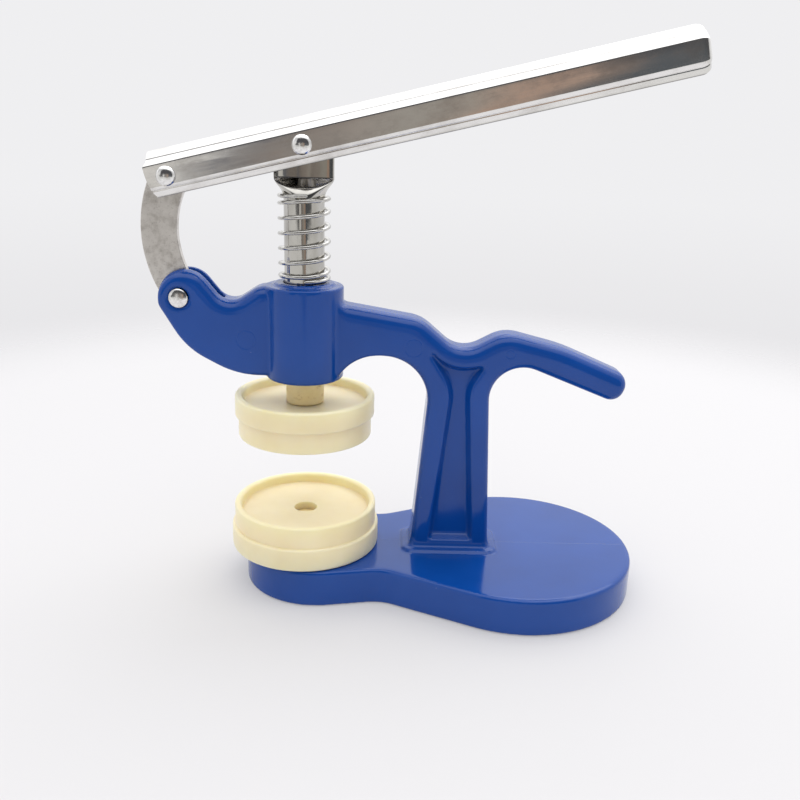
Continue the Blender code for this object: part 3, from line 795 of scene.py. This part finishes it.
def painted_casting():
    """The one-piece casting under a continuous skin, so that every joint has a small paint fillet."""
    casting = base_plate()
    for blank in (upright_web(), boss(), column_foot()):
        boolean(casting, blank, "UNION")
    bore = [(0.0, BELOW_BOSS), (BORE_RADIUS, BELOW_BOSS), (BORE_RADIUS, ABOVE_BOSS), (0.0, ABOVE_BOSS)]
    boolean(casting, turned("bore_tool", bore))
    slot = (
        (BEHIND_FORK, BELOW_BOSS),
        (SLOT_END_X, BELOW_BOSS),
        (SLOT_END_X, ABOVE_FORK),
        (BEHIND_FORK, ABOVE_FORK),
    )
    boolean(casting, prism("slot_tool", slot, SLOT_WIDTH / 2))
    pin = (FORK_PIN.x / MM, FORK_PIN.z / MM)
    boolean(casting, prism("pin_tool", circle(PIN_HOLE_RADIUS, 48, pin), PAST_SIDES))
    rim = circle(RECESS_RADIUS, 48, pin)
    for side in (-1, 1):
        ends = (side * (WEB_HALF_WIDTH - RECESS_DEPTH), side * PAST_SIDES)
        boolean(casting, loft("recess_tool", [[(p.x, y, p.y) for p in rim] for y in ends]))
    top = BASE_THICKNESS + 2.0
    floor = STUD_HOLE_FLOOR
    stud = [(0.0, floor), (STUD_HOLE_RADIUS, floor), (STUD_HOLE_RADIUS, top), (0.0, top)]
    boolean(casting, turned("stud_tool", stud, 48))
    for side in (-1, 1):
        boolean(casting, pocket_tool(side))
    freeze(casting)
    skin = casting.modifiers.new("skin", "REMESH")
    skin.mode = "VOXEL"
    skin.voxel_size = SKIN_VOXEL * MM
    skin.use_smooth_shade = True
    smooth = casting.modifiers.new("smooth", "SMOOTH")
    smooth.factor = 0.5
    smooth.iterations = SKIN_SMOOTHING
    thin = casting.modifiers.new("thin", "DECIMATE")
    thin.ratio = SKIN_SHARE
    freeze(casting)
    return casting


# -------- lever, link and rivets

def lever_ring(along, across=1.0, up=1.0):
    """The lever's outer section at a distance along it, drawn in across and upwards by two scales."""
    share = (along + PIN_SPACING + LEVER_REAR) / LEVER_LENGTH
    side = [(y, n - LIP_DROP * share, radius) for y, n, radius in LEVER_LIP] + list(LEVER_SECTION)
    corners = side + [(-y, n, radius) for y, n, radius in reversed(side)]
    points = outline(corners, None, math.radians(15))
    return [(along, p.x * across, LEVER_CENTRE + (p.y - LEVER_CENTRE) * up) for p in points]


def lever_hollow():
    """Cutter for the inside of the channel and the gap between its lips."""
    inner = [
        (4.7, -8.0, 0.0),
        (4.7, -6.2, 0.6),
        (5.3, -4.0, 0.6),
        (6.1, -2.6, 0.8),
        (6.1, 3.85, 0.8),
        (1.8, 7.65, 1.6),
    ]
    corners = inner + [(-y, n, radius) for y, n, radius in reversed(inner)]
    points = outline(corners, None, math.radians(15))
    rear = -PIN_SPACING - LEVER_REAR
    ends = (rear - 5.0, rear + LEVER_LENGTH - LEVER_NOSE + LEVER_WALL)
    return loft("lever_hollow_tool", [[(along, p.x, p.y) for p in points] for along in ends])


def rear_end(rear):
    """Side view of what is cut off behind the lever's rounded rear end."""
    edge = [
        (0.9, -9.0, 0.0),
        (0.6, -6.3, 0.8),
        (-0.5, -4.4, 2.5),
        (-1.2, -1.2, 3.0),
        (-LEVER_OVERHANG, 1.5, 3.0),
        (-LEVER_OVERHANG, 4.1, 0.6),
        (-0.1, 5.5, 0.4),
        (0.3, 8.2, 0.9),
        (1.2, 10.0, 0.0),
        (-6.0, 10.0, 0.0),
        (-6.0, -9.0, 0.0),
    ]
    return outline([(rear + along, n, radius) for along, n, radius in edge], None, math.radians(15))


def lever_body():
    """Folded lever about the plunger pin, open below and behind, with a closed round nose."""
    rear = -PIN_SPACING - LEVER_REAR
    front = rear + LEVER_LENGTH
    rings = [lever_ring(rear - LEVER_OVERHANG)]
    steps = 12
    for k in range(steps + 1):
        angle = math.pi / 2 * k / steps
        drawn = 1 - math.cos(angle)
        along = front - LEVER_NOSE * (1 - math.sin(angle))
        rings.append(lever_ring(along, 1 - NOSE_ACROSS * drawn ** 2, 1 - NOSE_UP * drawn))
    lever = loft("lever_body", rings)
    boolean(lever, lever_hollow())
    for name, along in (("plunger_hole_tool", 0.0), ("rear_hole_tool", -PIN_SPACING)):
        boolean(lever, prism(name, circle(RIVET_SHANK + HOLE_ROOM, 32, (along, 0.0)), PAST_SIDES))
    boolean(lever, prism("rear_end_tool", rear_end(rear), PAST_SIDES))
    freeze(lever)
    soften_edges(lever, LEVER_EDGE, reach=front - LEVER_NOSE - 1.0)
    lever.data.transform(LEVER_PLACE)
    return lever


def link_strap():
    """C-shaped link with a round end about each pin and softened blanked edges."""
    fork = Vector((FORK_PIN.x, FORK_PIN.z)) / MM
    rear = Vector((REAR_PIN.x, REAR_PIN.z)) / MM
    chord = rear - fork
    across = Vector((chord.y, -chord.x)).normalized()
    centre = (fork + rear) / 2 + across * math.sqrt(LINK_BOW_RADIUS ** 2 - (chord.length / 2) ** 2)
    half = LINK_WIDTH / 2 - LINK_TRIM
    spokes = (rear - centre, fork - centre)
    top, bottom = (math.atan2(spoke.y, spoke.x) % (2 * math.pi) for spoke in spokes)
    points = arc(centre, LINK_BOW_RADIUS + half, top, bottom - top, 40)
    points += arc(fork, half, bottom, math.pi, 28)[1:-1]
    points += arc(centre, LINK_BOW_RADIUS - half, bottom, top - bottom, 36)
    points += arc(rear, half, top + math.pi, math.pi, 28)[1:-1]
    link = prism("link_strap", points, LINK_HALF_THICKNESS)
    boolean(link, prism("fork_eye_tool", circle(FORK_PIN_SHANK + HOLE_ROOM, 48, fork), PAST_PLATE))
    boolean(link, prism("rear_eye_tool", circle(LINK_EYE_RADIUS, 48, rear), PAST_PLATE))
    freeze(link)
    soften_edges(link, LINK_EDGE, 3)
    return link


def rivet(name, node, shank, dome):
    """A rivet along Y with two domed heads, each with a rolled rim."""
    half_length = (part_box(node)[1][1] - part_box(node)[0][1]) / 2 / MM
    rim = half_length - dome
    top = [(0.0, half_length)]
    steps = 8
    for k in range(1, steps + 1):
        angle = DOME_SWEEP * k / steps
        out = math.sin(angle) / math.sin(DOME_SWEEP)
        down = (1 - math.cos(angle)) / (1 - math.cos(DOME_SWEEP))
        top.append((RIVET_HEAD * DOME_REACH * out, half_length - dome * DOME_DROP * down))
    top += [(RIVET_HEAD, rim + dome * RIM_RISE), (RIVET_HEAD - 0.05, rim), (shank, rim)]
    profile = top + [(radius, -y) for radius, y in reversed(top)]
    item = turned(name, profile[::-1], 64)
    item.rotation_euler = (math.pi / 2, 0.0, 0.0)
    item.location = centre_of(node)
    return item


# -------- plunger, adapter and spring

def signed_power(value, power):
    """A power of the value's size, with the value's sign."""
    return math.copysign(abs(value) ** power, value)


def plunger_point(angle, z):
    """A point on the plunger: round below, crushed flat above a crescent-shaped crimp."""
    cosine = math.cos(angle)
    sine = math.sin(angle)
    flare = min(1.0, max(0.0, (z - FLARE_START) / (FLARE_END - FLARE_START)))
    flare = (flare * flare * (3 - 2 * flare)) ** FLARE_POWER
    width = TUBE_RADIUS + (HEAD_HALF_WIDTH - TUBE_RADIUS) * flare
    x = width * signed_power(cosine, 1.0 - HEAD_SQUARE_ENDS * flare)
    low = CRIMP_LOW + CRIMP_SMILE * min(1.0, abs(cosine)) ** 2
    crimp = min(1.0, max(0.0, (z - low) / (CRIMP_HIGH - low)))
    crimp = crimp * crimp * (1.7 - 0.7 * crimp)
    round_y = TUBE_RADIUS * sine
    ridge = HEAD_RIDGE * math.exp(-(x / HEAD_RIDGE_WIDTH) ** 2)
    flat_y = (HEAD_HALF_DEPTH + ridge) * signed_power(sine, HEAD_FLAT_SIDES)
    return (x, round_y + (flat_y - round_y) * crimp, z)


def plunger_body():
    """Steel tube with its crimped head."""
    low, high = (corner[2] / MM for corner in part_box("plunger_tube"))
    levels = [low, low + 0.25, 100.0, 120.0, CRIMP_LOW - 3.0]
    levels += [CRIMP_LOW - 1.0 + 0.35 * k for k in range(26)]
    levels += [150.0, 153.0, high - HEAD_SHOULDER]
    steps = 128
    rings = []
    for z in levels:
        shrink = TUBE_END_SHARE if z == low else 1.0
        ring = [plunger_point(2 * math.pi * k / steps, z) for k in range(steps)]
        rings.append([(x * shrink, y * shrink, z) for x, y, z in ring])
    shoulder_ring = [plunger_point(2 * math.pi * k / steps, high - HEAD_SHOULDER) for k in range(steps)]
    layers = 8
    for k in range(1, layers + 1):
        angle = math.pi / 2 * k / layers
        squeeze = (HEAD_HALF_WIDTH - HEAD_SHOULDER * (1 - math.cos(angle))) / HEAD_HALF_WIDTH
        z = high - HEAD_SHOULDER * (1 - math.sin(angle))
        rings.append([(x * squeeze, y, z) for x, y, _ in shoulder_ring])
    tube = loft("plunger_body", rings)
    hole = circle(RIVET_SHANK + HOLE_ROOM, 32, (0.0, PLUNGER_PIN.z / MM))
    boolean(tube, prism("head_hole_tool", hole, PAST_PLATE))
    bottom = low - 2.0
    bore = [(0.0, bottom), (TUBE_BORE, bottom), (TUBE_BORE, TUBE_BORE_TOP), (0.0, TUBE_BORE_TOP)]
    boolean(tube, turned("tube_bore_tool", bore, 64))
    freeze(tube)
    return tube


def brass_adapter():
    """Brass adapter in the tube's lower end, with a stud for the upper die."""
    low, high = (corner[2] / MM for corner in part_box("die_adapter"))
    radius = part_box("die_adapter")[1][0] / MM
    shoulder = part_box("upper_die")[1][2] / MM - CUP_DEPTH + 0.3
    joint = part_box("plunger_tube")[0][2] / MM - 0.3
    stud = 3.9
    spigot = 4.7
    edge = 0.35
    corners = [
        (0.0, low, 0.0),
        (stud, low, 0.5),
        (stud, shoulder, 0.15),
        (radius, shoulder, edge),
        (radius, joint, edge),
        (spigot, joint, 0.15),
        (spigot, high, 0.5),
        (0.0, high, 0.0),
    ]
    profile = outline(corners, None, math.radians(20))
    return turned("brass_adapter", [(max(0.0, p.x), p.y) for p in profile], 96)


def spring_height(turns, low, high):
    """Height of the wire's centre after a number of turns, with a closed coil at each end."""
    closed = 1.0
    if turns < closed:
        return low + CLOSED_PITCH * turns
    if turns > SPRING_TURNS - closed:
        return high - CLOSED_PITCH * (SPRING_TURNS - turns)
    share = (turns - closed) / (SPRING_TURNS - 2 * closed)
    return low + CLOSED_PITCH + (high - low - 2 * CLOSED_PITCH) * share


def coil_spring():
    """Right-handed coil spring with closed ends and rounded wire tips."""
    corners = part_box("return_spring")
    low = corners[0][2] / MM + WIRE_RADIUS
    high = corners[1][2] / MM - WIRE_RADIUS
    radius = corners[1][0] / MM - WIRE_RADIUS
    per_turn = 44
    sides = 14
    count = int(SPRING_TURNS * per_turn)
    rings = []
    for k in range(-2, count + 3):
        turns = min(max(k / per_turn, 0.0), SPRING_TURNS)
        overrun = max(-k, k - count, 0)
        wire = WIRE_RADIUS * TIP_SHARES[overrun]
        angle = 2 * math.pi * turns + SPRING_START + math.copysign(TIP_STEP * overrun, k)
        z = spring_height(turns, low, high)
        ring = []
        for i in range(sides):
            around = 2 * math.pi * i / sides
            reach = radius + wire * math.cos(around)
            ring.append((reach * math.cos(angle), reach * math.sin(angle), z + wire * math.sin(around)))
        rings.append(ring)
    return loft("coil_spring", rings)


# -------- dies

def die(name, node, radii, step_share, cups):
    """Double-ended nylon die with a cup in each end, rounded rims and a bore between the cups."""
    low, high = (corner[2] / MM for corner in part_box(node))
    step = low + (high - low) * step_share
    upper, lower = radii
    wide_below = lower > upper
    upper_cup, lower_cup = cups
    rim = 0.8
    inner_rim = 1.2
    crease = 0.25
    corners = [
        (DIE_BORE, low + CUP_DEPTH, 0.3),
        (lower_cup - CUP_DRAFT, low + CUP_DEPTH, 0.5),
        (lower_cup, low, inner_rim),
        (lower, low, rim),
        (lower, step, rim if wide_below else crease),
        (upper, step, crease if wide_below else rim),
        (upper, high, rim),
        (upper_cup, high, inner_rim),
        (upper_cup - CUP_DRAFT, high - CUP_DEPTH, 0.5),
        (DIE_BORE, high - CUP_DEPTH, 0.3),
    ]
    return turned_ring(name, [(p.x, p.y) for p in outline(corners, None, math.radians(18))])


# -------- placing

def add_piece(piece, node, body, finish):
    """Give a piece its material, stand it for its CAD node and let it ride on a body."""
    piece.data.materials.clear()
    piece.data.materials.append(finish)
    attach(piece, body)
    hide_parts(node)


def refine_node(node, finish):
    """Give a carried-over CAD node its finished material."""
    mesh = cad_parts[node].data
    mesh.materials.clear()
    mesh.materials.append(finish)


def dress_press():
    """Every piece of the press, on the body that carries it."""
    enamel = blue_enamel()
    plated = plated_sheet()
    satin = satin_plate()
    rivets = rivet_steel()
    brass = turned_brass()
    nylon = cream_nylon()

    add_piece(painted_casting(), "press_frame", "frame", enamel)
    fork_pin = rivet("fork_rivet", "fork_pin", FORK_PIN_SHANK, FORK_PIN_DOME)
    add_piece(fork_pin, "fork_pin", "frame", rivets)
    spring = coil_spring()
    add_piece(spring, "return_spring", "frame", spring_wire())
    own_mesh(spring)

    lower = die("lower_nylon_die", "lower_die", *LOWER_DIE)
    add_piece(lower, "lower_die", "lower_die", nylon)
    upper = die("upper_nylon_die", "upper_die", *UPPER_DIE)
    add_piece(upper, "upper_die", "upper_die", nylon)

    add_piece(plunger_body(), "plunger_tube", "plunger", polished_tube())
    add_piece(brass_adapter(), "die_adapter", "plunger", brass)
    head_pin = rivet("plunger_head_rivet", "plunger_rivet", RIVET_SHANK, RIVET_DOME)
    add_piece(head_pin, "plunger_rivet", "plunger", rivets)

    add_piece(lever_body(), "lever_channel", "lever", plated)
    rear_pin = rivet("lever_rear_rivet", "rear_rivet", RIVET_SHANK, RIVET_DOME)
    add_piece(rear_pin, "rear_rivet", "lever", rivets)
    add_piece(link_strap(), "link_plate", "link", satin)

    refine_node("lower_die_stud", brass)
    for where in ("plunger", "link"):
        for side in ("front", "back"):
            refine_node(f"{where}_spacer_{side}", satin)


# -------- stage, light and camera

# Floor, in metres: solid as far as FLOOR_SOLID from its middle, and gone from FLOOR_GONE on.
FLOOR_RADIUS = 0.6
FLOOR_PLACE = (0.05, 0.03, -0.0002)
FLOOR_SOLID = 0.30
FLOOR_GONE = 0.52
FLOOR_GLOW = 0.27

# Room round the press, by direction: where each zone blends into the next, and its tones.
ROOM_FRONT = (0.25, -0.35)
ROOM_MIDDLE = (0.12, 0.40)
ROOM_TOP = (0.62, 0.92)
LOW_TONES = ((0.86, 0.86, 0.875), (0.82, 0.815, 0.80))
MIDDLE_TONES = ((1.36, 1.36, 1.37), (0.72, 0.72, 0.725))
TOP_TONE = (1.75, 1.75, 1.76)

# The dim part of the room that the bright parts reflect. Its colours run along the slope across, from
# -1 to 1. The limits are slopes, or directions for the full width and the front, and what they map to.
PATCH_STOPS = (
    (-0.95, (0.13, 0.13, 0.13)),
    (-0.40, (0.12, 0.12, 0.12)),
    (-0.37, (0.74, 0.72, 0.69)),
    (-0.235, (0.70, 0.68, 0.645)),
    (-0.205, (0.14, 0.145, 0.165)),
    (-0.16, (0.15, 0.155, 0.175)),
    (-0.12, (0.25, 0.215, 0.19)),
    (-0.05, (0.34, 0.30, 0.265)),
    (0.00, (0.36, 0.335, 0.30)),
    (0.08, (0.35, 0.325, 0.285)),
    (0.125, (0.46, 0.31, 0.235)),
    (0.20, (0.44, 0.32, 0.25)),
    (0.25, (0.105, 0.115, 0.125)),
    (0.40, (0.10, 0.11, 0.12)),
    (0.95, (0.10, 0.10, 0.10)),
)
PATCH_WOBBLE = 0.22
PATCH_EDGE = 14.0
PATCH_DARK_TOP = (0.12, 0.24)
PATCH_DARK_TONE = (0.08, 0.08, 0.085)
PATCH_LOW_WIDTH = (-0.26, -0.04, 0.0, 0.42)
PATCH_FULL_WIDTH = (-0.14, -0.085, 0.0, 0.75)
PATCH_MIDDLE = (-0.05, 0.15, 0.07, 0.37)
PATCH_TOP = (1.3, 0.9)
PATCH_FRONT = (-0.05, -0.3)

# The backdrop that the camera sees, from low to high.
BACKDROP_RANGE = (-0.7, 0.1)
BACKDROP_STOPS = (
    (0.10, (0.895, 0.89, 0.905)),
    (0.35, (0.93, 0.925, 0.94)),
    (0.43, (0.905, 0.90, 0.92)),
    (0.53, (0.85, 0.845, 0.862)),
    (0.63, (0.80, 0.795, 0.812)),
    (0.75, (0.825, 0.82, 0.835)),
    (0.88, (0.865, 0.863, 0.877)),
)


def pale_floor():
    """A pale floor round the press that fades out into the backdrop."""
    builder = bmesh.new()
    bmesh.ops.create_circle(builder, cap_ends=True, segments=96, radius=FLOOR_RADIUS)
    mesh = bpy.data.meshes.new("floor")
    builder.to_mesh(mesh)
    builder.free()
    floor = bpy.data.objects.new("floor", mesh)
    floor.location = FLOOR_PLACE
    bpy.context.scene.collection.objects.link(floor)
    look = Look("floor_paper")
    look.set(Base_Color=(0.445, 0.44, 0.447, 1.0), Roughness=0.7, Specular_IOR_Level=0.0)
    look.set(Emission_Color=(1.0, 0.99, 1.0, 1.0), Emission_Strength=FLOOR_GLOW)
    away = look.tree.nodes.new("ShaderNodeVectorMath")
    away.operation = "LENGTH"
    look.feed(away.inputs[0], look.place)
    fade = look.between(away.outputs["Value"], FLOOR_SOLID, FLOOR_GONE)
    clear = look.tree.nodes.new("ShaderNodeBsdfTransparent")
    join = look.tree.nodes.new("ShaderNodeMixShader")
    look.feed(join.inputs[0], fade)
    look.feed(join.inputs[1], look.shader.outputs[0])
    look.feed(join.inputs[2], clear.outputs[0])
    look.feed(look.tree.nodes["Material Output"].inputs["Surface"], join.outputs[0])
    mesh.materials.append(look.material)


def dim_patch(look, x, y, z):
    """Colour and extent of the dim, uneven part of the room straight in front of the press."""
    depth = look.math("MAXIMUM", look.math("MULTIPLY", y, -1.0), 0.05)
    across = look.math("DIVIDE", x, depth)
    up = look.math("DIVIDE", z, depth)
    wobble = look.tree.nodes.new("ShaderNodeTexNoise")
    wobble.inputs["Scale"].default_value = 9.0
    wobble.inputs["Detail"].default_value = 3.0
    look.feed(wobble.inputs["Vector"], look.place)
    drift = look.math("SUBTRACT", wobble.outputs["Fac"], 0.5)
    shift = look.math("MULTIPLY", drift, PATCH_WOBBLE)
    place = look.math("ADD", look.math("MULTIPLY", look.math("ADD", across, shift), 0.5), 0.5)
    colour = look.ramp(place, [(0.5 + 0.5 * side, tone) for side, tone in PATCH_STOPS])
    colour = look.mix(look.between(up, *PATCH_DARK_TOP), colour, PATCH_DARK_TONE)
    width = look.math("ADD", look.between(up, *PATCH_LOW_WIDTH), look.between(z, *PATCH_FULL_WIDTH))
    off = look.math("ABSOLUTE", look.math("SUBTRACT", across, look.between(up, *PATCH_MIDDLE)))
    inside = look.math("MULTIPLY", look.math("SUBTRACT", width, off), PATCH_EDGE)
    inside = look.math("ADD", inside, 0.5, clamp=True)
    inside = look.math("MULTIPLY", inside, look.between(up, *PATCH_TOP))
    return colour, look.math("MULTIPLY", inside, look.between(y, *PATCH_FRONT))


def studio_world():
    """White studio: bright above and behind, with a dim patch of room in front of the press."""
    world = bpy.data.worlds.new("studio")
    world.use_nodes = True
    bpy.context.scene.world = world
    look = Nodes(world.node_tree, "Generated")
    x, y, z = look.axes()
    front = look.between(y, *ROOM_FRONT)
    low = look.mix(front, *LOW_TONES)
    middle = look.mix(front, *MIDDLE_TONES)
    around = look.mix(look.between(z, *ROOM_MIDDLE), low, middle)
    colour, inside = dim_patch(look, x, y, z)
    around = look.mix(look.between(z, *ROOM_TOP), around, TOP_TONE)
    path = look.tree.nodes.new("ShaderNodeLightPath")
    around = look.mix(look.math("MULTIPLY", inside, path.outputs["Is Glossy Ray"]), around, colour)
    backdrop = look.ramp(look.between(z, *BACKDROP_RANGE), BACKDROP_STOPS)
    light = look.mix(path.outputs["Is Camera Ray"], around, backdrop)
    look.feed(look.tree.nodes["Background"].inputs["Color"], light)


def soft_box(name, place, target, size, power):
    """A rectangular area light that faces a point."""
    light = bpy.data.lights.new(name, "AREA")
    light.shape = "RECTANGLE"
    light.size, light.size_y = size
    light.energy = power
    item = bpy.data.objects.new(name, light)
    item.location = place
    item.rotation_euler = (Vector(target) - Vector(place)).to_track_quat("-Z", "Y").to_euler()
    bpy.context.scene.collection.objects.link(item)


def photo_camera():
    """The camera at the photograph's viewing angle."""
    turn = math.radians(-0.74)
    pitch = math.radians(17.69)
    roll = math.radians(1.60)
    ahead = math.cos(pitch)
    forward = Vector((-math.sin(turn) * ahead, math.cos(turn) * ahead, -math.sin(pitch)))
    level = Vector((math.cos(turn), math.sin(turn), 0.0))
    upright = level.cross(forward)
    right = level * math.cos(roll) + upright * math.sin(roll)
    up = upright * math.cos(roll) - level * math.sin(roll)
    lens = bpy.data.cameras.new("camera")
    lens.lens = 38.25
    lens.sensor_width = 36.0
    lens.shift_x = 0.0081
    lens.shift_y = -0.0016
    lens.clip_start = 0.01
    camera = bpy.data.objects.new("camera", lens)
    place = Matrix((right, up, -forward)).transposed().to_4x4()
    place.translation = Vector((28.24, -294.02, 163.81)) * MM
    camera.matrix_world = place
    bpy.context.scene.collection.objects.link(camera)
    bpy.context.scene.camera = camera


dress_press()
pale_floor()
studio_world()
soft_box("ceiling_panel", place=(0.35, 0.35, 0.9), target=(0.04, 0.0, 0.05), size=(0.9, 0.9), power=3.0)
bpy.context.scene.view_settings.view_transform = "Standard"
photo_camera()
